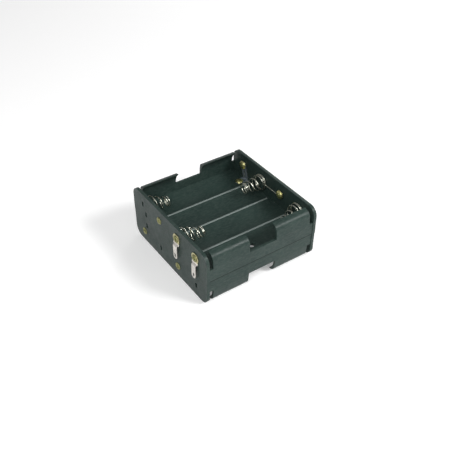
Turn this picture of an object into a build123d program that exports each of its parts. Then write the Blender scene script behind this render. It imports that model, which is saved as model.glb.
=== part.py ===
from build123d import *
import os
from math import acos, asin, atan2, cos, hypot, pi, radians, sin, sqrt

# Battery holder for eight AA cells, four bays on top of a web and four more underneath.
# Millimetres. X runs along the cells, Y across the bays, Z up. Bay 1 is at +Y, bay 4 at -Y.
# The solder tags are on the end plate at -X. Every piece is drawn about the middle of the
# moulding, and the last section lifts the whole holder so that it stands on Z = 0.

# Cells and bays
cell_diameter = 14.5
cell_length = 50.5
cell_side_clearance = 0.1
bays_per_layer = 4
bay_pitch = 15.0
contact_room = 5.5  # length left beside a cell for both of its contacts

# Moulding
web_thickness = 1.5
plate_thickness = 1.5
plate_corner_radius = 4.5
plate_overhang = 0.25  # plate edge beyond the long walls
plate_rise = 0.15  # plate edge above the tips of the lips
lower_wall_thickness = 0.95
parting_step = 0.2  # the upper mould half is this much wider on each side
ridge_height = 1.5
ridge_width = 0.7
ridge_flank_height = 1.2
wiring_trough_width = 2.35  # flat strip of floor beside each end plate

# Spring flaps on the long walls, each with a lip that hooks over its cell
lip_reach = 2.2
lip_tip_thickness = 0.35
lip_fall = 1.0
flap_corner_radius = 1.3
finger_notch_length = 14.4
flap_slot_width = 2.0
wall_below_axis = 1.75  # the notch and slot floors lie this far below the cell's axis

# Wire springs
wire_radius = 0.25
spring_free_length = 12.0
base_coil_radius = 3.8
tip_coil_radius = 2.8
spring_sag = 1.5  # the tip coils hang this far below the cell's axis
base_turns = 2.0
open_turns = 3.1
tip_turns = 1.4
loop_turns = 0.8
seat_gap = 0.05  # running clearance round the sprung wire
wire_corner = 0.25  # cut across the corner where the wire turns from a plate to the floor
steps_per_turn = 10  # straight runs in one turn of wire
wire_sides = 4  # flats on the faceted wire, whose section has the area of the round one

# Rivets and eyelets
shank_radius = 1.1
shank_clearance = 0.05
contact_head_radius = 2.2
contact_head_height = 1.4
floor_head_radius = 1.75
floor_head_height = 0.7
dome_angles = (0, 25, 50, 70)  # where the facets of a domed head meet, in degrees
rolled_rim_radius = 1.8
rolled_rim_height = 0.45
rim_angles = (0, 45, 80)
bore_radius = 0.7
bore_depth = 1.7
rivet_sides = 16  # flats round a rivet

# Crossover straps and solder tags
strap_thickness = 0.3
strap_width = 4.0
floor_rivet_from_plate = 4.2
floor_rivet_inset = 2.4  # from the bay's centre line towards the middle of the holder
floor_coil_inset = 2.2  # the same for the base coils of the spring beside that rivet
tag_thickness = 0.4
tag_ring_radius = 2.5
tag_shoulder_width = 4.2
tag_shoulder_drop = 3.0
tag_tongue_width = 3.0
tag_length = 10.8  # eyelet axis to the tip of the tongue
tag_standoff = 0.8
tag_bend_start = 2.7
tag_bend_end = 3.7
tag_hole_width = 1.2
tag_hole_height = 2.0
tag_hole_from_tip = 1.9

# Small openings
plate_slot_width = 1.3
plate_slot_height = 2.6
corner_slot_inset = 2.5
corner_slot_level = 3.3
floor_hole_radius = 1.5
pocket_clearance = 1.0  # room round the wire loop at a rivet through the web
cut_overrun = 1.0  # length by which a cut runs past the surfaces that it opens

# Sizes that follow from the ones above
cell_radius = cell_diameter / 2
inner_half_length = (cell_length + contact_room) / 2
half_length = inner_half_length + plate_thickness
plate_middle = inner_half_length + plate_thickness / 2
web_top = web_thickness / 2
axis_height = web_top + cell_radius
outer_bay = bay_pitch * (bays_per_layer - 1) / 2
bay_centres = [outer_bay - bay_pitch * index for index in range(bays_per_layer)]
cradle_radius = cell_radius + cell_side_clearance
wall_inner = outer_bay + cradle_radius
lower_wall_outer = wall_inner + lower_wall_thickness
upper_wall_outer = lower_wall_outer + parting_step
upper_plate_half = upper_wall_outer + plate_overhang
lower_plate_half = lower_wall_outer + plate_overhang
lip_edge = wall_inner - lip_reach
lip_under = axis_height + sqrt(cradle_radius**2 - (cradle_radius - lip_reach) ** 2)
lip_top = lip_under + lip_tip_thickness
flap_corner_height = lip_top - lip_fall
half_height = lip_top + plate_rise
notch_floor = axis_height - wall_below_axis
ridge_flank = bay_pitch / 2 - ridge_width / 2
floor_arc_radius = (ridge_flank**2 + ridge_flank_height**2) / (2 * ridge_flank_height)
loop_radius = (shank_radius + seat_gap + wire_radius) / cos(pi / steps_per_turn)
wire_level = seat_gap + wire_radius
wire_grip = 2 * wire_level
floor_rivet_x = inner_half_length - floor_rivet_from_plate
pocket_radius = loop_radius + wire_radius + pocket_clearance
wire_corner_radius = wire_radius * sqrt(2 * pi / (wire_sides * sin(2 * pi / wire_sides)))

# The circuit runs back and forth from the negative tag to the positive one
bays = range(1, bays_per_layer + 1)
negative_tag_bay = bays_per_layer - 1
positive_tag_bay = bays_per_layer
strapped_bays = [("top", 1), ("bottom", bays_per_layer)]


def spring_end(layer, bay):
    """End at which a bay's spring stands, -1 or 1: it alternates across and between layers."""
    odd_bay = bay % 2 == 1
    return -1 if odd_bay == (layer == "top") else 1


def has_tag(end, layer, bay, tag_bay):
    """Whether a contact's place is that of the tag in the given bay."""
    return (end, layer, bay) == (-1, "top", tag_bay)


def bay_y(bay):
    """Y of a bay's centre line."""
    return bay_centres[bay - 1]


def axis_z(layer):
    """Height of the cell axes in a layer."""
    return axis_height if layer == "top" else -axis_height


def turned_over(shape):
    """The same shape in the other layer: half a turn about the X axis."""
    return Rot(180, 0, 0) * shape


def cradle_height(offset):
    """Height of a bay's curved floor at a distance across from its centre line."""
    return web_top + floor_arc_radius - sqrt(floor_arc_radius**2 - offset**2)


def layer_section(wall_outer):
    """Section across one layer: half the web, the walls with their lips, ridges and floors."""
    lip_angle = acos((cradle_radius - lip_reach) / cradle_radius)
    with BuildSketch(Plane.YZ) as section:
        with BuildLine():
            for side in (1, -1):
                Line((0, 0), (side * wall_outer, 0))
                outside = FilletPolyline(
                    (side * wall_outer, 0),
                    (side * wall_outer, flap_corner_height),
                    (side * lip_edge, lip_top),
                    radius=flap_corner_radius,
                )
                Line(outside @ 1, (side * lip_edge, lip_under))
                ThreePointArc(
                    (side * lip_edge, lip_under),
                    (
                        side * (outer_bay + cradle_radius * cos(lip_angle / 2)),
                        axis_height + cradle_radius * sin(lip_angle / 2),
                    ),
                    (side * wall_inner, axis_height),
                )
                Line(
                    (side * wall_inner, axis_height),
                    (side * wall_inner, cradle_height(cradle_radius)),
                )
            for bay, centre in enumerate(bay_centres, start=1):
                left_reach = cradle_radius if bay == bays_per_layer else ridge_flank
                right_reach = cradle_radius if bay == 1 else ridge_flank
                ThreePointArc(
                    (centre - left_reach, cradle_height(left_reach)),
                    (centre, web_top),
                    (centre + right_reach, cradle_height(right_reach)),
                )
            for centre in bay_centres[:-1]:
                ridge = centre - bay_pitch / 2
                ThreePointArc(
                    (ridge - ridge_width / 2, cradle_height(ridge_flank)),
                    (ridge, web_top + ridge_height),
                    (ridge + ridge_width / 2, cradle_height(ridge_flank)),
                )
        make_face()
    return section.sketch


def end_plate_section(half_width):
    """Half of an end plate, from mid-height up, with its two rounded corners."""
    with BuildSketch(Plane.YZ) as section:
        with Locations((0, half_height / 2)):
            Rectangle(2 * half_width, half_height)
        fillet(section.vertices().group_by(Axis.Y)[-1], plate_corner_radius)
    return section.sketch


def box_between(low, high):
    """A box given by two opposite corners."""
    size = [high[index] - low[index] for index in range(3)]
    centre = [(high[index] + low[index]) / 2 for index in range(3)]
    return Pos(*centre) * Box(*size)


def wall_cuts():
    """Finger notch and flap slots through both long walls of one layer."""
    inside = lip_edge - cut_overrun
    outside = upper_wall_outer + cut_overrun
    top = half_height + cut_overrun
    slot_start = inner_half_length - flap_slot_width
    spans = [
        (-finger_notch_length / 2, finger_notch_length / 2),
        (slot_start, inner_half_length),
        (-inner_half_length, -slot_start),
    ]
    cuts = []
    for low_x, high_x in spans:
        cuts.append(box_between((low_x, inside, notch_floor), (high_x, outside, top)))
        cuts.append(box_between((low_x, -outside, notch_floor), (high_x, -inside, top)))
    return cuts


def floor_cuts():
    """Wiring troughs beside the end plates, and the pocket of the floor rivet in the bay."""
    top = web_top + ridge_height + cut_overrun
    trough_start = inner_half_length - wiring_trough_width
    cuts = [
        box_between((trough_start, -wall_inner, web_top), (inner_half_length, wall_inner, top)),
        box_between((-inner_half_length, -wall_inner, web_top), (-trough_start, wall_inner, top)),
    ]
    for rivet_y in (outer_bay - floor_rivet_inset, floor_rivet_inset - outer_bay):
        cuts.append(
            Pos(floor_rivet_x, rivet_y, web_top)
            * Cylinder(pocket_radius, top, align=(Align.CENTER, Align.CENTER, Align.MIN))
        )
        cuts.append(
            box_between(
                (floor_rivet_x, rivet_y - pocket_radius, web_top),
                (inner_half_length, rivet_y + pocket_radius, top),
            )
        )
    return cuts


def rivet_places():
    """(end, layer, bay) of every rivet and eyelet through an end plate; end is -1 or 1."""
    places = [(-spring_end(layer, bay), layer, bay) for layer in ("top", "bottom") for bay in bays]
    return places + [(-1, "top", negative_tag_bay)]


def plate_cuts():
    """Rivet holes, the slots behind the springs, and the small slots near the corners."""
    through = plate_thickness + 2 * cut_overrun
    hole = Rot(0, 90, 0) * Cylinder(shank_radius + shank_clearance, through)
    slot = Box(through, plate_slot_width, plate_slot_height)
    cuts = []
    for end in (-1, 1):
        for layer in ("top", "bottom"):
            for bay in bays:
                opening = hole if (end, layer, bay) in rivet_places() else slot
                cuts.append(Pos(end * plate_middle, bay_y(bay), axis_z(layer)) * opening)
        for side in (-1, 1):
            for level in (-corner_slot_level, corner_slot_level):
                slot_y = side * (outer_bay - corner_slot_inset)
                cuts.append(Pos(end * plate_middle, slot_y, level) * slot)
    return cuts


def holder_body():
    """The one-piece moulding: web, ridges, long walls with flaps, and both end plates."""
    upper = extrude(layer_section(upper_wall_outer), inner_half_length, both=True)
    lower = turned_over(extrude(layer_section(lower_wall_outer), inner_half_length, both=True))
    for cut in wall_cuts() + floor_cuts():
        upper -= cut
        lower -= turned_over(cut)
    plate = extrude(end_plate_section(upper_plate_half), plate_thickness)
    plate += extrude(turned_over(end_plate_section(lower_plate_half)), plate_thickness)
    body = upper + lower
    body += Pos(inner_half_length, 0, 0) * plate
    body += Pos(-half_length, 0, 0) * plate
    for cut in plate_cuts():
        body -= cut
    through = web_thickness + 2 * cut_overrun
    for rivet_y in (outer_bay - floor_rivet_inset, floor_rivet_inset - outer_bay):
        hole = Cylinder(shank_radius + shank_clearance, through)
        body -= Pos(floor_rivet_x, rivet_y, 0) * hole
    return body - Pos(0, bay_y(bays_per_layer), 0) * Cylinder(floor_hole_radius, through)


def turned_piece(profile):
    """A piece turned about X from its (x, radius) profile, with plane flats for its round section."""
    turns = [2 * pi * side / rivet_sides for side in range(rivet_sides)]
    rings = [[(x, radius * cos(turn), radius * sin(turn)) for turn in turns] for x, radius in profile]
    outlines = [rings[0], rings[-1]]
    for ring, next_ring in zip(rings, rings[1:]):
        for side in range(rivet_sides):
            outlines.append([ring[side - 1], ring[side], next_ring[side], next_ring[side - 1]])
    return Solid(Shell([Face(Wire.make_polygon(outline)) for outline in outlines]))


def rounded_end(start, height, edge_radius, inner_radius, angles):
    """Profile of a rounded end: part of a quarter of an ellipse, from its edge inwards."""
    full_height = height / sin(radians(angles[-1]))
    width = edge_radius - inner_radius
    turns = [radians(angle) for angle in angles]
    return [(start + full_height * sin(turn), inner_radius + width * cos(turn)) for turn in turns]


def rivet(inner_grip, outer_grip, wall, head_radius, head_height):
    """A rivet along X: domed head at +X, rolled rim at -X, wall's near face at X = 0."""
    tail = -wall - outer_grip
    tail_end = tail - rolled_rim_height
    head = rounded_end(inner_grip, head_height, head_radius, 0, dome_angles)
    shank = [(inner_grip, shank_radius), (tail, shank_radius)]
    rim = rounded_end(tail, -rolled_rim_height, rolled_rim_radius, bore_radius, rim_angles)
    bore = [(tail_end, bore_radius), (tail_end + bore_depth, bore_radius)]
    return turned_piece(head[::-1] + shank + rim + bore)


def facing_bay(end, layer, bay):
    """Location of a bay's end: origin on the plate's inner face at the cell's axis."""
    place = Pos(end * inner_half_length, bay_y(bay), axis_z(layer))
    layer_turn = 0 if layer == "top" else 180
    end_turn = 0 if end < 0 else 180
    return place * Rot(layer_turn, 0, 0) * Rot(0, 0, end_turn)


def plate_rivet(end, layer, bay):
    """The rivet or eyelet of a bay's end plate, sized for what it clamps there."""
    inner_grip = wire_grip
    outer_grip = 0
    if (layer, bay) in strapped_bays:
        inner_grip = strap_thickness
    if has_tag(end, layer, bay, positive_tag_bay):
        inner_grip = 0
        outer_grip = tag_thickness
    if has_tag(end, layer, bay, negative_tag_bay):
        outer_grip = tag_thickness
    body = rivet(inner_grip, outer_grip, plate_thickness, contact_head_radius, contact_head_height)
    return facing_bay(end, layer, bay) * body


def floor_rivet():
    """The rivet through the web in bay 1: it clamps the strap above and a spring's wire below."""
    body = rivet(strap_thickness, wire_grip, web_thickness, floor_head_radius, floor_head_height)
    place = Pos(floor_rivet_x, outer_bay - floor_rivet_inset, web_top)
    return place * Rot(0, -90, 0) * body


def crossover_strap():
    """Bent nickel strip in bay 1, from the floor rivet up the right plate to its rivet."""
    rivet_y = outer_bay - floor_rivet_inset
    with BuildSketch(Plane.XY.offset(web_top)) as foot:
        with Locations((floor_rivet_x, rivet_y)):
            Circle(strap_width / 2)
        with Locations(((floor_rivet_x + inner_half_length) / 2, rivet_y)):
            Rectangle(floor_rivet_from_plate, strap_width)
        with Locations((floor_rivet_x, rivet_y)):
            Circle(shank_radius, mode=Mode.SUBTRACT)
    with BuildSketch(Plane.YZ.offset(inner_half_length)) as upright:
        with Locations((outer_bay, axis_height)):
            Circle(strap_width / 2)
        with Locations((rivet_y, web_top + strap_thickness / 2)):
            Rectangle(strap_width, strap_thickness)
        make_hull()
        with Locations((outer_bay, axis_height)):
            Circle(shank_radius, mode=Mode.SUBTRACT)
    return extrude(foot.sketch, strap_thickness) + extrude(upright.sketch, -strap_thickness)


def solder_tag(bay):
    """Tinned tag on the left plate: a ring under the eyelet and a tongue that stands off."""
    outer_face = -half_length
    with BuildSketch(Plane.YZ) as outline:
        with Locations((0, 0)):
            Circle(tag_ring_radius)
        with Locations((0, -tag_shoulder_drop / 2)):
            Rectangle(tag_shoulder_width, tag_shoulder_drop)
        with Locations((0, (tag_tongue_width / 2 - tag_length) / 2)):
            Rectangle(tag_tongue_width, tag_length - tag_tongue_width / 2)
        with Locations((0, tag_tongue_width / 2 - tag_length)):
            Circle(tag_tongue_width / 2)
        Circle(shank_radius, mode=Mode.SUBTRACT)
        with Locations((0, tag_hole_from_tip - tag_length)):
            SlotCenterToCenter(
                tag_hole_height - tag_hole_width,
                tag_hole_width,
                rotation=90,
                mode=Mode.SUBTRACT,
            )
    with BuildSketch(Plane.XZ) as bent_sheet:
        with BuildLine():
            Polyline(
                (0, tag_ring_radius),
                (0, -tag_bend_start),
                (-tag_standoff, -tag_bend_end),
                (-tag_standoff, -tag_length),
                (-tag_standoff - tag_thickness, -tag_length),
                (-tag_standoff - tag_thickness, -tag_bend_end),
                (-tag_thickness, -tag_bend_start),
                (-tag_thickness, tag_ring_radius),
                close=True,
            )
        make_face()
    depth = 2 * (tag_standoff + tag_thickness)
    blank = extrude(outline.sketch, -depth)
    sheet = extrude(bent_sheet.sketch, tag_ring_radius, both=True)
    return Pos(outer_face, bay_y(bay), axis_height) * (blank & sheet)


def coil_points(start_angle, base_across, base_up):
    """
    Base coils, open coils and tip coils of a spring, turning one way from the given angle. The
    base is centred on the given place, across and up from the cell's axis, and the tip on the
    bay's centre line.
    """
    closed_pitch = 2 * wire_radius + seat_gap
    total_turns = base_turns + open_turns + tip_turns
    base_end = wire_level + base_turns * closed_pitch
    tip_start = spring_free_length - wire_radius - tip_turns * closed_pitch
    points = []
    for step in range(round(total_turns * steps_per_turn) + 1):
        turn = step / steps_per_turn
        opened = min(max((turn - base_turns) / open_turns, 0), 1)
        closed = min(turn, base_turns) + max(turn - base_turns - open_turns, 0)
        level = wire_level + closed * closed_pitch + opened * (tip_start - base_end)
        radius = base_coil_radius + opened * (tip_coil_radius - base_coil_radius)
        across = base_across * (1 - opened)
        up = base_up * (1 - opened) - spring_sag * opened
        angle = start_angle + 2 * pi * turn
        points.append((level, across + radius * cos(angle), up + radius * sin(angle)))
    return points


def loop_points(end_angle, hand):
    """Angles of the small loop round a rivet's shank, turning the given way to its end."""
    steps = round(loop_turns * steps_per_turn)
    return [end_angle - hand * 2 * pi * (steps - step) / steps_per_turn for step in range(steps + 1)]


def wire_spring(points, flat_side):
    """Wire swept along short straight runs through the points, one flat facing the given way."""
    path = Polyline(*points)
    start = Plane(origin=path @ 0, x_dir=flat_side, z_dir=path % 0)
    outline = RegularPolygon(wire_corner_radius, wire_sides, rotation=180 / wire_sides)
    return sweep(start * outline, path=path, transition=Transition.RIGHT)


def linking_spring(side):
    """
    Spring whose straight tail runs level from the side of its coils, under the rivet of the next
    bay and round its shank. The next bay is on the given side, 1 or -1.
    """
    loop = [
        (wire_level, side * bay_pitch + loop_radius * cos(angle), loop_radius * sin(angle))
        for angle in loop_points(-pi / 2, -side)
    ]
    side_angle = 0 if side > 0 else pi
    return wire_spring(loop + coil_points(side_angle, 0, -loop_radius), (1, 0, 0))


def eyelet_spring():
    """Spring whose wire spirals out from round its own bay's eyelet."""
    loop = [
        (wire_level, loop_radius * cos(angle), loop_radius * sin(angle))
        for angle in loop_points(pi, 1)
    ]
    spiral_steps = steps_per_turn // 2
    spiral = []
    for step in range(1, spiral_steps):
        radius = loop_radius + (base_coil_radius - loop_radius) * step / spiral_steps
        angle = pi + 2 * pi * step / steps_per_turn
        spiral.append((wire_level, radius * cos(angle), radius * sin(angle)))
    coils = coil_points(pi + 2 * pi * spiral_steps / steps_per_turn, 0, 0)
    return wire_spring(loop + spiral + coils, (1, 0, 0))


def floor_spring():
    """
    Spring with a tail down the plate from the foot of its coils, and along the floor to the rivet
    through the web. The run along the floor meets the loop round the rivet's shank at a tangent.
    """
    floor_level = wire_level - cell_radius
    run = floor_rivet_from_plate - wire_level
    aside = floor_rivet_inset - floor_coil_inset
    slant = asin(loop_radius / hypot(run, aside)) - atan2(aside, run)
    loop = [
        (
            floor_rivet_from_plate - loop_radius * sin(angle),
            loop_radius * cos(angle) - floor_rivet_inset,
            floor_level,
        )
        for angle in loop_points(slant, 1)
    ]
    corner = [
        (
            wire_level + wire_corner * cos(slant),
            wire_corner * sin(slant) - floor_coil_inset,
            floor_level,
        ),
        (wire_level, -floor_coil_inset, floor_level + wire_corner),
    ]
    coils = coil_points(-pi / 2, -floor_coil_inset, -loop_radius)
    return wire_spring(loop + corner + coils, (0, 0, 1))


def contact_spring(end, layer, bay):
    """The spring of one bay, with the tail that its place in the circuit needs."""
    if has_tag(end, layer, bay, negative_tag_bay):
        body = eyelet_spring()
    elif end > 0 and (layer, bay) in (("top", bays_per_layer), ("bottom", 1)):
        body = floor_spring()
    else:
        body = linking_spring(end)
    return facing_bay(end, layer, bay) * body


# The pieces, each under the name of its own file
pieces = {"holder_body": holder_body()}
for layer in ("top", "bottom"):
    for bay in bays:
        spring = contact_spring(spring_end(layer, bay), layer, bay)
        pieces[f"contact_spring_{layer}_{bay}"] = spring
for end, layer, bay in rivet_places():
    name = f"contact_rivet_{layer}_{bay}"
    if has_tag(end, layer, bay, negative_tag_bay):
        name = "tag_eyelet_negative"
    if has_tag(end, layer, bay, positive_tag_bay):
        name = "tag_eyelet_positive"
    pieces[name] = plate_rivet(end, layer, bay)
pieces["floor_rivet_1"] = floor_rivet()
pieces["floor_rivet_4"] = turned_over(floor_rivet())
pieces["crossover_strap_1"] = crossover_strap()
pieces["crossover_strap_4"] = turned_over(crossover_strap())
pieces["solder_tag_negative"] = solder_tag(negative_tag_bay)
pieces["solder_tag_positive"] = solder_tag(positive_tag_bay)

# Stand the holder on Z = 0 with X = 0 midway between the outermost metal at each end
left_reach = half_length + tag_standoff + tag_thickness
right_reach = half_length + rolled_rim_height
stand = Pos((left_reach - right_reach) / 2, 0, half_height)

os.makedirs("parts", exist_ok=True)
for name, piece in pieces.items():
    export_step(stand * piece, f"parts/{name}.step")
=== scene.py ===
"""Battery holder for eight AA cells: the finish of every piece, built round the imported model."""
from math import asin, atan2, cos, hypot, pi, radians, sin, sqrt

import bmesh
import bpy
import numpy as np
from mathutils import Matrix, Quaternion, Vector


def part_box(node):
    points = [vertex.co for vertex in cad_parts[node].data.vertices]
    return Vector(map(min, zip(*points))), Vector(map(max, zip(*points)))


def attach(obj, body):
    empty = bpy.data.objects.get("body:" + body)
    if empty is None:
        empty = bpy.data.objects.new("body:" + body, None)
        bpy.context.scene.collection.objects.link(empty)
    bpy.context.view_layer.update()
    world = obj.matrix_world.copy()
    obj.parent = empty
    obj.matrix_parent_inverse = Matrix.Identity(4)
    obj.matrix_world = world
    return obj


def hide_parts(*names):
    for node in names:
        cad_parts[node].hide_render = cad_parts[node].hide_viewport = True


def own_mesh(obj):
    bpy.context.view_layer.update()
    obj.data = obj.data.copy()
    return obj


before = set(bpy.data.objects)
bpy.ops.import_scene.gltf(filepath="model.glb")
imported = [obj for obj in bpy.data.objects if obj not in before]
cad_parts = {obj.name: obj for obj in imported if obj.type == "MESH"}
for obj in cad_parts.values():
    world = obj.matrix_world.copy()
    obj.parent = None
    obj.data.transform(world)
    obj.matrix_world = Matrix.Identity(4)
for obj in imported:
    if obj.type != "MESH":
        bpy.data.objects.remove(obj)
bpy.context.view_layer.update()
mm = 0.001

# View and light
# The camera stands where the photograph's stood. The holder is on white paper in a pale room with
# a darker ceiling, under a large soft lamp at the upper left, a small one at the front right and
# a low one behind.
camera_place = Vector((-0.134746, -0.196014, 0.204725))
aim_point = Vector((0.000581, -0.002255, 0.011625))
camera_roll = radians(0.357)
lens = 51.96
paper_size = 6.0
paper_white = 0.86
paper_glow = 0.26
horizon_white = 0.95
ceiling_grey = 0.28
horizon_top = 0.0  # sine of the elevation where the pale walls begin to darken
ceiling_start = 0.30
lamps = [
    ("key_lamp", (-0.30, -0.26, 0.42), 0.30, 1.5),
    ("glint_lamp", (0.35, -0.48, 0.51), 0.24, 4.4),
    ("back_lamp", (0.62, 0.50, 0.10), 0.20, 3.0),
]

camera = bpy.data.objects.new("camera", bpy.data.cameras.new("camera"))
camera.data.lens = lens
camera.data.clip_start = 0.01
camera.location = camera_place
camera.rotation_mode = "QUATERNION"
look = (aim_point - camera_place).to_track_quat("-Z", "Y")
camera.rotation_quaternion = look @ Quaternion((0, 0, 1), camera_roll)
bpy.context.scene.collection.objects.link(camera)
bpy.context.scene.camera = camera
bpy.context.scene.view_settings.view_transform = "Standard"

for name, place, width, power in lamps:
    lamp = bpy.data.objects.new(name, bpy.data.lights.new(name, "AREA"))
    lamp.data.size = width
    lamp.data.energy = power
    lamp.location = place
    lamp.rotation_mode = "QUATERNION"
    lamp.rotation_quaternion = (aim_point - Vector(place)).to_track_quat("-Z", "Y")
    bpy.context.scene.collection.objects.link(lamp)


def add_node(tree, kind, inputs=None, **settings):
    """A shader node with its settings, and its inputs linked or set."""
    node = tree.nodes.new("ShaderNode" + kind)
    for setting, value in settings.items():
        setattr(node, setting, value)
    for socket, value in (inputs or {}).items():
        if isinstance(value, bpy.types.NodeSocket):
            tree.links.new(value, node.inputs[socket])
        else:
            node.inputs[socket].default_value = value
    return node


def seen_directly(tree):
    """1 for what the camera sees itself, in a mirror or through glass, else 0."""
    path = add_node(tree, "LightPath").outputs
    mirrored = add_node(
        tree, "Math", {0: path["Is Camera Ray"], 1: path["Is Glossy Ray"]}, operation="MAXIMUM"
    )
    return add_node(
        tree, "Math", {0: mirrored.outputs[0], 1: path["Is Transmission Ray"]}, operation="MAXIMUM"
    ).outputs[0]


room = bpy.data.worlds.new("room")
bpy.context.scene.world = room
room.use_nodes = True
tree = room.node_tree
tree.nodes.clear()
direction = add_node(tree, "TexCoord").outputs["Generated"]
height = add_node(tree, "SeparateXYZ", {0: direction}).outputs["Z"]
shade = add_node(
    tree,
    "MapRange",
    {
        "Value": height,
        "From Min": horizon_top,
        "From Max": ceiling_start,
        "To Min": horizon_white,
        "To Max": ceiling_grey,
    },
    interpolation_type="SMOOTHSTEP",
)
walls = add_node(tree, "Background", {"Color": (1, 1, 1, 1), "Strength": shade.outputs["Result"]})
add_node(tree, "OutputWorld", {"Surface": walls.outputs[0]})

paper_material = bpy.data.materials.new("white_paper")
paper_material.use_nodes = True
tree = paper_material.node_tree
tree.nodes.clear()
paper_body = add_node(tree, "BsdfDiffuse", {"Color": (paper_white, paper_white, paper_white, 1)})
glow = add_node(tree, "Emission", {"Color": (1, 1, 1, 1)})
tree.links.new(
    add_node(tree, "Math", {0: seen_directly(tree), 1: paper_glow}, operation="MULTIPLY").outputs[0],
    glow.inputs["Strength"],
)
paper_surface = add_node(tree, "AddShader", {0: paper_body.outputs[0], 1: glow.outputs[0]})
add_node(tree, "OutputMaterial", {"Surface": paper_surface.outputs[0]})

paper_mesh = bpy.data.meshes.new("paper")
half = paper_size / 2
paper_mesh.from_pydata(
    [(-half, -half, 0), (half, -half, 0), (half, half, 0), (-half, half, 0)], [], [(0, 1, 2, 3)]
)
paper = bpy.data.objects.new("paper", paper_mesh)
paper_mesh.materials.append(paper_material)
bpy.context.scene.collection.objects.link(paper)

# Moulding
# One injection moulding in a dark slate thermoplastic: web, ridges, long walls with eight spring
# flaps, and both end plates. The tool's edges leave a small radius on every outside corner.
moulding_edge_radius = 0.2 * mm
moulding_edge_steps = 3
sharp_from = radians(24)
flat_within = radians(0.5)
narrow_face = 0.45 * mm
merge_distance = 0.002 * mm
moulding_colour = (0.015, 0.030, 0.026, 1)
moulding_pale = (0.023, 0.042, 0.036, 1)
scuffed_colour = (0.060, 0.080, 0.071, 1)
# Painted highlight: the ridge crests are drawn in this much paler colour.
crest_highlight_colour = (0.19, 0.225, 0.215, 1)
# Painted shade: the groove under the parting step is drawn in this near-black colour.
parting_shade_colour = (0.003, 0.005, 0.004, 1)


def softened_copy(node, name, edge_radius, edge_steps, cut_levels=(), reshape=None):
    """
    A CAD node's mesh with its sharp edges rounded. Corners are merged, triangles of one plane are
    joined, and each edge that turns by more than sharp_from is bevelled by a weight, which is
    its narrower neighbour's width over narrow_face, and 1 at most. Where a reshape function moves
    the corners, the mesh is first cut level at the given heights.
    """
    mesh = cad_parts[node].data.copy()
    mesh.name = name
    mesh.materials.clear()
    shape = bmesh.new()
    shape.from_mesh(mesh)
    bmesh.ops.remove_doubles(shape, verts=shape.verts, dist=merge_distance)
    bmesh.ops.dissolve_limit(
        shape, angle_limit=flat_within, verts=shape.verts[:], edges=shape.edges[:]
    )
    for level in cut_levels:
        bmesh.ops.bisect_plane(
            shape,
            geom=shape.verts[:] + shape.edges[:] + shape.faces[:],
            plane_co=(0, 0, level),
            plane_no=(0, 0, 1),
            dist=merge_distance,
        )
    weight = shape.edges.layers.float.new("bevel_weight_edge")
    for edge in shape.edges:
        if len(edge.link_faces) == 2 and edge.calc_face_angle(0) > sharp_from:
            widths = [face.calc_area() / edge.calc_length() for face in edge.link_faces]
            edge[weight] = min(1, min(widths) / narrow_face)
    shape.to_mesh(mesh)
    shape.free()
    mesh.shade_smooth()
    if reshape:
        reshape(mesh)
    piece = bpy.data.objects.new(name, mesh)
    bpy.context.scene.collection.objects.link(piece)
    bevel = piece.modifiers.new("edge_radius", "BEVEL")
    bevel.limit_method = "WEIGHT"
    bevel.width = edge_radius
    bevel.segments = edge_steps
    bevel.use_clamp_overlap = True
    bevel.loop_slide = False
    bevel.miter_outer = "MITER_SHARP"
    normals = piece.modifiers.new("flat_faces", "WEIGHTED_NORMAL")
    normals.weight = 100
    return piece


def new_material(name, **values):
    """A material with one Principled shader, its constant sockets set from the values."""
    material = bpy.data.materials.new(name)
    material.use_nodes = True
    shader = material.node_tree.nodes["Principled BSDF"]
    for socket, value in values.items():
        shader.inputs[socket.replace("_", " ")].default_value = value
    return material, material.node_tree, shader


def noise(tree, scale, detail=3.0, roughness=0.5, stretch=(1, 1, 1)):
    """Noise in object coordinates, with features about 1 / scale metres across."""
    place = add_node(tree, "TexCoord").outputs["Object"]
    turned = add_node(tree, "Mapping", {"Vector": place, "Scale": stretch}).outputs[0]
    texture = add_node(
        tree, "TexNoise", {"Vector": turned, "Scale": scale, "Detail": detail, "Roughness": roughness}
    )
    return texture.outputs["Fac"]


def remap(tree, value, low, high, new_low, new_high):
    """The value's range from low to high, spread over a new range and held within it."""
    node = add_node(
        tree,
        "MapRange",
        {"Value": value, "From Min": low, "From Max": high, "To Min": new_low, "To Max": new_high},
    )
    return node.outputs["Result"]


def mix_colour(tree, share, first, second):
    """The first colour where share is 0, the second where it is 1."""
    node = add_node(tree, "Mix", data_type="RGBA")
    for socket, value in ((0, share), (6, first), (7, second)):
        if isinstance(value, bpy.types.NodeSocket):
            tree.links.new(value, node.inputs[socket])
        else:
            node.inputs[socket].default_value = value
    return node.outputs[2]


def bump(tree, height, distance, strength=1.0, normal=None):
    """A bump of the given depth in metres, over another normal if one is given."""
    inputs = {"Height": height, "Distance": distance, "Strength": strength}
    if normal is not None:
        inputs["Normal"] = normal
    return add_node(tree, "Bump", inputs).outputs[0]


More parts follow.
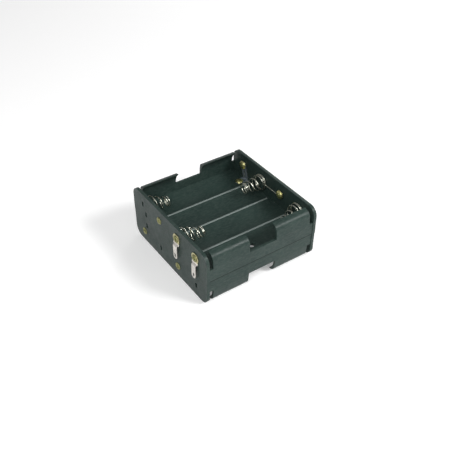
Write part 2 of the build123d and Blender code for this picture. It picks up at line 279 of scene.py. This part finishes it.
body_low, body_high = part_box("holder_body")
body_centre = (body_low + body_high) / 2
plate_thickness = 1.5 * mm
plate_face = (body_high.x - body_low.x) / 2 - plate_thickness
outer_bay = 22.5 * mm
wall_inner = 29.85 * mm
lower_wall_outer = 30.8 * mm
upper_wall_outer = 31.0 * mm
lip_edge = 27.65 * mm
lip_top = 13.594 * mm
bend_corner_height = 12.594 * mm
bend_radius = 1.3 * mm
sprung_bend_radius = 3.0 * mm
slot_floor = 6.25 * mm
ridge_top = 2.25 * mm
ridge_foot = 1.95 * mm
ridge_half = 0.35 * mm
bay_pitch = 15.0 * mm
ridge_spread = 1.6
floor_slope = 0.333
# Rise above a ridge's foot over which the painted highlight on its crest comes to full strength.
crest_highlight_depth = 0.17 * mm
parting_band = 0.7 * mm
parting_groove = 0.3 * mm
near = 0.02 * mm
flap_lean = 0.12  # millimetres inwards for each millimetre of height
lean_start = 1.2 * mm
flap_cut_levels = (slot_floor, 7.2 * mm, 8.6 * mm, 10.2 * mm)
flap_cuts = [body_centre.z + side * level for side in (1, -1) for level in flap_cut_levels]
moulding_cuts = flap_cuts + [body_centre.z - parting_band]


def corners_from_centre(mesh):
    """A mesh's corners as an array of (x, y, z), measured from the holder's centre."""
    points = np.empty(3 * len(mesh.vertices))
    mesh.vertices.foreach_get("co", points)
    return points.reshape(-1, 3) - np.array(body_centre)


def beside_ridge(across, height):
    """Distance from the nearest ridge's middle, and whether the point belongs to that ridge."""
    aside = across - bay_pitch * np.round(across / bay_pitch)
    low = np.minimum(height - ridge_foot, ridge_top - height) > -near
    return aside, low & (np.abs(aside) < ridge_half + near) & (across < outer_bay)


def painted_light_marks(mesh):
    """
    Two marks on the corners, which the material reads. The first is a painted highlight: it is 1
    on the crests of the ridges and falls to 0 at their feet. The second is painted shade: it is 1
    in the corner of the step where the mould halves part, which becomes the groove under the upper half.
    """
    points = corners_from_centre(mesh)
    height = np.abs(points[:, 2])
    across = np.abs(points[:, 1])
    crest_highlight = beside_ridge(across, height)[1] * np.clip((height - ridge_foot) / crest_highlight_depth, 0, 1)
    parting_shade = (height < near) & (np.abs(across - lower_wall_outer) < near)
    for name, mark in (("crest_highlight", crest_highlight), ("parting_shade", parting_shade)):
        mesh.attributes.new(name, "FLOAT", "POINT").data.foreach_set("value", mark.astype(float))


def sprung_flaps(mesh):
    """
    The eight flaps as they stand with no cell behind them. The arc of each bend is enlarged about
    the corner where its two faces would meet, and what is above the slots' floors turns inwards
    about them, by an angle that starts gently and grows to the lean. The ridges broaden, with
    their feet on the floors, and the corner of the parting step moves in, which leaves a shallow
    groove under the upper half.
    """
    points = corners_from_centre(mesh)
    side = np.sign(points[:, 1])
    layer = np.sign(points[:, 2])
    across = np.abs(points[:, 1])
    height = np.abs(points[:, 2])
    wall = np.where(layer > 0, upper_wall_outer, lower_wall_outer)
    fall = lip_top - bend_corner_height
    roof = np.hypot(wall - lip_edge, fall)
    middle_y = 1 + fall / roof
    middle_z = (wall - lip_edge) / roof
    middle = np.hypot(middle_y, middle_z)
    half_turn = np.arctan2(middle_z, middle_y)
    back = bend_radius / np.cos(half_turn)
    centre_y = wall - back * middle_y / middle
    centre_z = bend_corner_height - back * middle_z / middle
    off_arc = np.abs(np.hypot(across - centre_y, height - centre_z) - bend_radius)
    on_bend = (off_arc < near) & (across > centre_y) & (height > centre_z - near / 2)
    growth = np.where(on_bend, sprung_bend_radius / bend_radius, 1)
    across = wall + (across - wall) * growth
    height = bend_corner_height + (height - bend_corner_height) * growth
    aside, on_ridge = beside_ridge(across, height)
    spread = (ridge_spread - 1) * aside * on_ridge
    across = across + spread
    height = height - floor_slope * np.abs(spread) * (ridge_top - height) / (ridge_top - ridge_foot)
    in_corner = (height < near) & (np.abs(across - lower_wall_outer) < near)
    across = across - parting_groove * in_corner
    on_flap = (across > outer_bay) & (np.abs(points[:, 0]) < plate_face)
    rise = np.clip(height - slot_floor, 0, None) * on_flap
    turned = flap_lean * rise / (rise + lean_start)
    points[:, 1] = side * (across - turned * rise)
    points[:, 2] = layer * (height + turned * (across - wall_inner))
    mesh.vertices.foreach_set("co", (points + np.array(body_centre)).ravel())


def as_used(mesh):
    """The moulding with its painted highlight and painted shade marked and its flaps sprung."""
    painted_light_marks(mesh)
    sprung_flaps(mesh)


plastic, tree, shader = new_material("slate_plastic", IOR=1.5, Specular_IOR_Level=0.2)
tone = noise(tree, 70, detail=2)
plain = mix_colour(tree, remap(tree, tone, 0.35, 0.65, 0, 1), moulding_colour, moulding_pale)
streaks = noise(tree, 1300, detail=5, roughness=0.7, stretch=(0.4, 1, 1))
scuffed = mix_colour(tree, remap(tree, streaks, 0.42, 0.7, 0, 0.5), plain, scuffed_colour)
# Painted highlight: the ridge crests are mixed towards a much paler colour.
crest_highlight = add_node(tree, "Attribute", attribute_name="crest_highlight").outputs["Fac"]
crest_highlight = mix_colour(tree, remap(tree, crest_highlight, 0.1, 0.8, 0, 0.8), scuffed, crest_highlight_colour)
# Painted shade: the corner of the groove under the parting step is mixed towards near black.
parting_shade = add_node(tree, "Attribute", attribute_name="parting_shade").outputs["Fac"]
parting_shade = mix_colour(tree, remap(tree, parting_shade, 0.05, 0.3, 0, 1), crest_highlight, parting_shade_colour)
tree.links.new(parting_shade, shader.inputs["Base Color"])
sheen_marks = noise(tree, 260, detail=4, roughness=0.6)
tree.links.new(remap(tree, sheen_marks, 0.3, 0.7, 0.34, 0.46), shader.inputs["Roughness"])
waves = bump(tree, noise(tree, 140, detail=1), 0.03 * mm)
wipes = noise(tree, 420, detail=4, roughness=0.6, stretch=(0.12, 1, 1))
smears = bump(tree, wipes, 0.05 * mm, normal=waves)
scratches = bump(tree, streaks, 0.012 * mm, normal=smears)
grain = bump(tree, noise(tree, 5200, detail=2), 0.006 * mm, normal=scratches)
tree.links.new(grain, shader.inputs["Normal"])

moulding = softened_copy(
    "holder_body", "moulding", moulding_edge_radius, moulding_edge_steps, moulding_cuts, as_used
)
moulding.data.materials.append(plastic)
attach(moulding, "holder")
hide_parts("holder_body")

# Contact springs
# Nickel-plated spring wire, coiled as a cone that is closed at both ends. Five tails run along
# the end plate to the next bay's rivet and turn round its shank, under the head. One turns round
# its own bay's eyelet, and two go along the floor to the rivets through the web.
axis_height = 8.0 * mm
bay_count = 4
wire_radius = 0.25 * mm
wire_level = 0.3 * mm
base_coil_radius = 3.8 * mm
tip_coil_radius = 2.45 * mm
spring_tip = np.array((11.9, 0.0, -1.5)) * mm
leaning_tips = {
    ("top", 1): np.array((11.3, -1.2, -2.6)) * mm,
    ("top", 2): np.array((11.0, 0.0, -1.5)) * mm,
    ("top", 3): np.array((11.8, 0.0, -2.0)) * mm,
    ("top", 4): np.array((11.3, 0.3, -2.3)) * mm,
}
closed_pitch = 0.55 * mm
base_turns = 2.0
open_turns = 3.1
tip_turns = 1.4
pitch_ease = 0.4
loop_turns = 0.8
loop_radius = 1.4 * mm
floor_rivet_from_plate = 4.2 * mm
floor_rivet_inset = 2.4 * mm
floor_coil_inset = 2.2 * mm
floor_drop = 7.25 * mm
wire_bend_radius = 0.5 * mm
tail_bend_points = 10
floor_bend_points = 12
wire_sides = 14
steps_per_turn = 48
nickel_colour = (0.80, 0.81, 0.71, 1)
nickel_dark = (0.38, 0.39, 0.32, 1)


def spring_end(layer, bay):
    """End at which a bay's spring stands, -1 or 1: it alternates across and between layers."""
    return -1 if (bay % 2 == 1) == (layer == "top") else 1


def in_bay(points, end, layer, bay):
    """Points drawn from the plate's inner face at the cell's axis, moved to one end of a bay."""
    points = np.asarray(points, float)
    if end > 0:
        points = points * (-1, -1, 1)
    side = 1 if layer == "top" else -1
    points = points * (1, side, side)
    across = ((bay_count + 1) / 2 - bay) * bay_pitch
    return points + (body_centre.x + end * plate_face, across, body_centre.z + side * axis_height)


def smooth_step(value):
    """0 below 0, 1 above 1, and three squares less two cubes between."""
    value = np.clip(value, 0, 1)
    return value * value * (3 - 2 * value)


def coil(tip, start_angle, base_across, base_up, start_turn=0.0):
    """
    Base, open and tip coils. The angle grows evenly. The rise per turn is the closed pitch plus
    a share of the open one, which eases in and out, and the radius and the centre ease from the
    base's to the tip's. The tip is (length, across, up), measured from the plate on the axis.
    """
    spring_length, tip_across, tip_up = tip
    turns = base_turns + open_turns + tip_turns
    turn = np.linspace(start_turn, turns, int((turns - start_turn) * steps_per_turn))
    opened = smooth_step((turn - base_turns + pitch_ease) / (2 * pitch_ease))
    opened = opened * smooth_step((turns - tip_turns + pitch_ease - turn) / (2 * pitch_ease))
    travelled = np.cumsum(opened) * (turn[1] - turn[0])
    rise = spring_length - wire_radius - wire_level - closed_pitch * (turns - start_turn)
    level = wire_level + closed_pitch * (turn - start_turn) + rise * travelled / travelled[-1]
    share = smooth_step((turn - base_turns) / open_turns)
    radius = base_coil_radius + (tip_coil_radius - base_coil_radius) * share
    angle = start_angle + 2 * pi * turn
    across = base_across * (1 - share) + tip_across * share + radius * np.cos(angle)
    up = base_up * (1 - share) + tip_up * share + radius * np.sin(angle)
    return np.stack([level, across, up], axis=1)


def coil_from_tail(tip, tail_angle, base_across, base_up):
    """
    The short bend between a tail that comes in along a radius at the given angle and the base
    coil, and the coils. The bend's circle touches both the tail and the coil.
    """
    outside = sqrt(base_coil_radius**2 + 2 * base_coil_radius * wire_bend_radius)
    reach = asin(wire_bend_radius / (base_coil_radius + wire_bend_radius))
    turn = np.linspace(-pi / 2, reach - pi, tail_bend_points)
    along = outside + wire_bend_radius * np.cos(turn)
    aside = wire_bend_radius + wire_bend_radius * np.sin(turn)
    across = base_across + along * cos(tail_angle) - aside * sin(tail_angle)
    up = base_up + along * sin(tail_angle) + aside * cos(tail_angle)
    bend = np.stack([np.full(len(turn), wire_level), across, up], axis=1)
    return np.vstack([bend, coil(tip, tail_angle, base_across, base_up, reach / (2 * pi))[1:]])


def flat_arc(centre, start_radius, end_radius, start_angle, end_angle):
    """A spiral arc in the plate's plane, at the wire's level, about a (y, z) centre."""
    steps = int(abs(end_angle - start_angle) / (2 * pi) * steps_per_turn) + 2
    angle = np.linspace(start_angle, end_angle, steps)
    radius = np.linspace(start_radius, end_radius, steps)
    level = np.full(steps, wire_level)
    y = centre[0] + radius * np.cos(angle)
    return np.stack([level, y, centre[1] + radius * np.sin(angle)], axis=1)


def facing_plate(points):
    """The plate's normal for each point, for wire that lies along the plate."""
    return np.tile((1.0, 0.0, 0.0), (len(points), 1))


def linking_wire(tip, side):
    """Loop round the next bay's rivet, straight level tail and coils; side is 1 or -1."""
    loop = flat_arc((bay_pitch, 0), loop_radius, loop_radius, 2 * pi * loop_turns - pi / 2, -pi / 2)
    coils = coil_from_tail(tip, 0 if side > 0 else pi, 0, -loop_radius)
    wire = np.vstack([loop * (1, side, 1), coils])
    return wire, facing_plate(wire)


def eyelet_wire(tip):
    """Loop round the bay's own eyelet, half a turn of spiral outwards, and coils."""
    loop = flat_arc((0, 0), loop_radius, loop_radius, pi - 2 * pi * loop_turns, pi)
    spiral = flat_arc((0, 0), loop_radius, base_coil_radius, pi, 2 * pi)
    wire = np.vstack([loop, spiral[1:], coil(tip, 0, 0, 0)[1:]])
    return wire, facing_plate(wire)


def floor_wire(tip):
    """
    Loop round the rivet through the web, tail along the floor and up the plate to the foot of
    the coils. The run along the floor touches the loop.
    """
    floor_level = wire_level - floor_drop
    run = floor_rivet_from_plate - wire_level
    aside = floor_rivet_inset - floor_coil_inset
    slant = asin(loop_radius / hypot(run, aside)) - atan2(aside, run)
    steps = int(loop_turns * steps_per_turn)
    angle = np.linspace(slant - 2 * pi * loop_turns, slant, steps)
    loop = np.stack(
        [
            floor_rivet_from_plate - loop_radius * np.sin(angle),
            -floor_rivet_inset + loop_radius * np.cos(angle),
            np.full(steps, floor_level),
        ],
        axis=1,
    )
    turn = np.linspace(0, pi / 2, floor_bend_points)
    away = wire_bend_radius * (1 - np.sin(turn))
    bend = np.stack(
        [
            wire_level + away * cos(slant),
            -floor_coil_inset + away * sin(slant),
            floor_level + wire_bend_radius * (1 - np.cos(turn)),
        ],
        axis=1,
    )
    coils = coil_from_tail(tip, -pi / 2, -floor_coil_inset, -loop_radius)
    up = np.tile((0.0, 0.0, 1.0), (steps, 1))
    turning = np.stack([np.sin(turn), np.zeros(floor_bend_points), np.cos(turn)], axis=1)
    return np.vstack([loop, bend, coils]), np.vstack([up, turning, facing_plate(coils)])


def ring_quads(rings, sides):
    """Quads between neighbouring rings of points, where each ring has the same number of sides."""
    ring, side = np.meshgrid(np.arange(rings - 1), np.arange(sides), indexing="ij")
    after = (side + 1) % sides
    here, there = ring * sides, (ring + 1) * sides
    quads = np.stack([here + side, here + after, there + after, there + side], axis=-1)
    return quads.reshape(-1, 4).tolist()


def tube(points, facing, radius, sides):
    """
    Round wire along a path. At each point the section is a circle across the path's direction,
    measured from the facing direction made square to the path. Ends are flat and closed.
    """
    along = np.gradient(points, axis=0)
    along /= np.linalg.norm(along, axis=1, keepdims=True)
    across = np.cross(along, facing)
    across /= np.linalg.norm(across, axis=1, keepdims=True)
    upward = np.cross(across, along)
    angle = np.linspace(0, 2 * pi, sides, endpoint=False)[None, :, None]
    rings = points[:, None] + radius * (
        np.cos(angle) * across[:, None] + np.sin(angle) * upward[:, None]
    )
    last = (len(points) - 1) * sides
    caps = [list(range(sides))[::-1], list(range(last, last + sides))]
    return rings.reshape(-1, 3), ring_quads(len(points), sides) + caps


def new_piece(name, points, faces, material, node, aged=None):
    """
    A smooth mesh piece that rides on the holder in place of one CAD node. Where aged is given, it
    is a mark from 0 to 1 on each point, which the material reads.
    """
    mesh = bpy.data.meshes.new(name)
    mesh.from_pydata(points, [], faces)
    if aged is not None:
        mesh.attributes.new("aged", "FLOAT", "POINT").data.foreach_set("value", aged)
    mesh.shade_smooth()
    mesh.materials.append(material)
    piece = bpy.data.objects.new(name, mesh)
    bpy.context.scene.collection.objects.link(piece)
    shape = bmesh.new()
    shape.from_mesh(mesh)
    bmesh.ops.recalc_face_normals(shape, faces=shape.faces)
    shape.to_mesh(mesh)
    shape.free()
    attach(piece, "holder")
    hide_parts(node)
    return piece


nickel, tree, shader = new_material("nickel_plating", Metallic=1.0)
tarnish = remap(tree, noise(tree, 900, detail=3), 0.4, 0.68, 0, 1)
tree.links.new(mix_colour(tree, tarnish, nickel_colour, nickel_dark), shader.inputs["Base Color"])
tree.links.new(remap(tree, noise(tree, 2600), 0.3, 0.7, 0.2, 0.34), shader.inputs["Roughness"])
tree.links.new(bump(tree, noise(tree, 9000), 0.003 * mm), shader.inputs["Normal"])

# The whole wire is squashed towards its plate. That draws the two loops on the floor off the
# rivets through the web, where the real ones would stay.
for layer in ("top", "bottom"):
    for bay in range(1, bay_count + 1):
        end = spring_end(layer, bay)
        tip = leaning_tips.get((layer, bay), spring_tip)
        if (layer, bay) == ("top", 3):
            wire, facing = eyelet_wire(tip)
        elif (layer, bay) in (("top", 4), ("bottom", 1)):
            wire, facing = floor_wire(tip)
        else:
            wire, facing = linking_wire(tip, end)
        points, faces = tube(wire, facing, wire_radius, wire_sides)
        points = in_bay(points, end, layer, bay)
        name, node = f"spring_wire_{layer}_{bay}", f"contact_spring_{layer}_{bay}"
        spring = new_piece(name, points, faces, nickel, node)
        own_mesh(spring)

# Rivets
# Brass rivets: those through the end plates are the positive contacts, with a domed head in the
# bay and a rolled tail outside, and the two through the web join the layers' wiring.
shank_radius = 1.1 * mm
contact_head_radius = 2.2 * mm
contact_head_height = 1.4 * mm
web_head_radius = 2.0 * mm
web_head_height = 0.7 * mm
head_rim_height = 0.22 * mm
rim_radius = 1.8 * mm
rim_height = 0.45 * mm
bore_radius = 0.7 * mm
bore_depth = 1.7 * mm
bore_taper = 0.9  # the bore's floor over its mouth
head_edge_radius = 0.09 * mm
wire_grip = 0.6 * mm
strap_thickness = 0.3 * mm
tag_thickness = 0.4 * mm
web_thickness = 1.5 * mm
rivet_sides = 72
petals = 8
petal_depth = 0.09 * mm
petal_sharpness = 8
petal_start = 0.18  # shares of the head's radius
petal_end = 0.96
petal_fade = 0.2
centre_dimple = 0.1 * mm
tail_starts = 0.9  # share of the wall's thickness, past which a rivet counts as its tail
brass_colour = (0.84, 0.80, 0.38, 1)
brass_dark = (0.44, 0.41, 0.13, 1)
brass_dull = (0.15, 0.16, 0.08, 1)


def arc_profile(centre, radii, start, end, steps=10):
    """Points (x, r) on an elliptical arc about (x, r), between two angles in degrees."""
    angle = np.radians(np.linspace(start, end, steps))
    return np.stack([centre[0] + radii[0] * np.cos(angle), centre[1] + radii[1] * np.sin(angle)], axis=1)


def rivet_shape(inner_grip, outer_grip, wall, head_radius, head_height, star):
    """
    A profile turned about X: domed head at +X, shank, and a tail rolled over at -X round the
    bore. On a star-set head the dome sinks between its petals, by petal_depth times the sine of
    half the petals times the angle, raised to petal_sharpness. That fades out at the centre and
    at the rim, and there is a dimple in the middle. Also gives a mark that is 1 on the tail.
    """
    tail = -wall - outer_grip
    top = inner_grip + head_rim_height
    rise = head_height - head_rim_height
    edge = head_edge_radius
    roll = (rim_radius - bore_radius) / 2
    profile = np.vstack([
        arc_profile((top, 0), (rise, head_radius - edge), 0.5, 90, 26),
        arc_profile((top - edge, head_radius - edge), (edge, edge), 0, 90, 5)[1:],
        arc_profile((inner_grip + edge, head_radius - edge), (edge, edge), 90, 180, 5),
        [(inner_grip, shank_radius), (tail, shank_radius)],
        arc_profile((tail, bore_radius + roll), (rim_height, roll), 90, 270, 18),
        [(tail, bore_radius), (tail - rim_height + bore_depth, bore_radius * bore_taper)],
    ])
    turn = np.linspace(0, 2 * pi, rivet_sides, endpoint=False)
    x = np.repeat(profile[:, :1], rivet_sides, axis=1)
    radius = profile[:, 1:]
    if star:
        share = radius / head_radius
        inside = smooth_step((share - petal_start) / petal_fade)
        outside = smooth_step((petal_end - share) / petal_fade)
        on_dome = (x > top) * inside * outside
        x = x - petal_depth * on_dome * np.sin(turn * petals / 2)[None] ** petal_sharpness
        x = x - centre_dimple * (x > top) * (1 - smooth_step(share / petal_fade))
    points = np.stack([x, radius * np.cos(turn), radius * np.sin(turn)], axis=-1).reshape(-1, 3)
    last = (len(profile) - 1) * rivet_sides
    caps = [list(range(rivet_sides)), list(range(last, last + rivet_sides))]
    on_tail = (points[:, 0] < -wall * tail_starts).astype(float)
    return points, ring_quads(len(profile), rivet_sides) + caps, on_tail


brass, tree, shader = new_material("brass", Metallic=1.0)
stain = remap(tree, noise(tree, 1100, detail=4), 0.46, 0.72, 0, 1)
bright = mix_colour(tree, stain, brass_colour, brass_dark)
aged = add_node(tree, "Attribute", attribute_name="aged").outputs["Fac"]
dulled = add_node(tree, "Math", {0: aged, 1: remap(tree, stain, 0, 1, 0.75, 1)}, operation="MULTIPLY")
tree.links.new(mix_colour(tree, dulled.outputs[0], bright, brass_dull), shader.inputs["Base Color"])
polish = remap(tree, noise(tree, 3000), 0.3, 0.7, 0.24, 0.38)
sheen = add_node(tree, "Math", {0: aged, 1: 0.2, 2: polish}, operation="MULTIPLY_ADD")
tree.links.new(sheen.outputs[0], shader.inputs["Roughness"])
tree.links.new(bump(tree, noise(tree, 6000), 0.004 * mm), shader.inputs["Normal"])

for layer in ("top", "bottom"):
    for bay in range(1, bay_count + 1):
        end = -spring_end(layer, bay)
        grip, outer, node = wire_grip, 0, f"contact_rivet_{layer}_{bay}"
        if (layer, bay) in (("top", 1), ("bottom", 4)):
            grip = strap_thickness
        if (layer, bay) == ("top", 4):
            grip, outer, node = 0, tag_thickness, "tag_eyelet_positive"
        points, faces, on_tail = rivet_shape(
            grip, outer, plate_thickness, contact_head_radius, contact_head_height, True
        )
        points = in_bay(points, end, layer, bay)
        new_piece(node.replace("contact", "brass"), points, faces, brass, node, on_tail)
points, faces, on_tail = rivet_shape(
    wire_grip, tag_thickness, plate_thickness, contact_head_radius, contact_head_height, True
)
points = in_bay(points, -1, "top", 3)
new_piece("eyelet_negative", points, faces, brass, "tag_eyelet_negative", on_tail)

for bay, side in ((1, 1), (4, -1)):
    points, faces, on_tail = rivet_shape(
        strap_thickness, wire_grip, web_thickness, web_head_radius, web_head_height, False
    )
    along, across, upward = points.T
    aside = side * (outer_bay - floor_rivet_inset)
    centre = np.array(body_centre) + (plate_face - floor_rivet_from_plate, aside, 0)
    stood = np.stack([-upward, side * across, side * (along + web_thickness / 2)], axis=1)
    new_piece(
        f"web_rivet_{bay}", stood + centre, faces, brass, f"floor_rivet_{bay}", on_tail
    )

# Crossover straps
# Nickel-plated strip, punched and folded once, from the head of each web rivet along the floor
# and the right-hand end plate to the contact rivet of that bay.
strap_edge_radius = 0.05 * mm
fine_edge_steps = 2
strip_colour = (0.40, 0.46, 0.49, 1)
strip_dull = (0.16, 0.20, 0.23, 1)

strip, tree, shader = new_material("nickel_strip", Metallic=0.8)
bloom = remap(tree, noise(tree, 800, detail=4), 0.4, 0.66, 0, 1)
tree.links.new(mix_colour(tree, bloom, strip_colour, strip_dull), shader.inputs["Base Color"])
tree.links.new(remap(tree, noise(tree, 1500), 0.3, 0.7, 0.42, 0.6), shader.inputs["Roughness"])
rolled = noise(tree, 3000, detail=3, stretch=(1, 1, 0.1))
tree.links.new(bump(tree, rolled, 0.004 * mm), shader.inputs["Normal"])

for bay in (1, 4):
    strap = softened_copy(
        f"crossover_strap_{bay}", f"strap_{bay}", strap_edge_radius, fine_edge_steps
    )
    strap.data.materials.append(strip)
    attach(strap, "holder")
    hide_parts(f"crossover_strap_{bay}")

# Solder tags
# Two tinned stampings under the eyelets of the left end plate. Each has a ring, a shoulder and a
# tongue that is joggled away from the plate, with a hole for the lead near its tip.
tag_edge_radius = 0.08 * mm
tin_colour = (0.80, 0.77, 0.72, 1)
tin_dull = (0.58, 0.55, 0.50, 1)
bare_brass = (0.56, 0.52, 0.30, 1)
plating_edge = 1.7 * mm  # below the eyelet's centre: the tin has worn off above this
plating_fade = 0.4 * mm

tin, tree, shader = new_material("tinned_brass", Metallic=1.0)
dull = remap(tree, noise(tree, 700, detail=4), 0.4, 0.7, 0, 1)
tinned = mix_colour(tree, dull, tin_colour, tin_dull)
place = add_node(tree, "TexCoord").outputs["Object"]
level = add_node(tree, "SeparateXYZ", {0: place}).outputs["Z"]
eyelet_level = body_centre.z + axis_height
worn_from = eyelet_level - plating_edge
worn = remap(tree, level, worn_from - plating_fade, worn_from, 0, 1)
tree.links.new(mix_colour(tree, worn, tinned, bare_brass), shader.inputs["Base Color"])
tree.links.new(remap(tree, noise(tree, 1800), 0.3, 0.7, 0.3, 0.46), shader.inputs["Roughness"])
tree.links.new(bump(tree, noise(tree, 2500, detail=3), 0.006 * mm), shader.inputs["Normal"])

for pole in ("negative", "positive"):
    tag = softened_copy(f"solder_tag_{pole}", f"tag_{pole}", tag_edge_radius, fine_edge_steps)
    tag.data.materials.append(tin)
    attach(tag, "holder")
    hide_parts(f"solder_tag_{pole}")
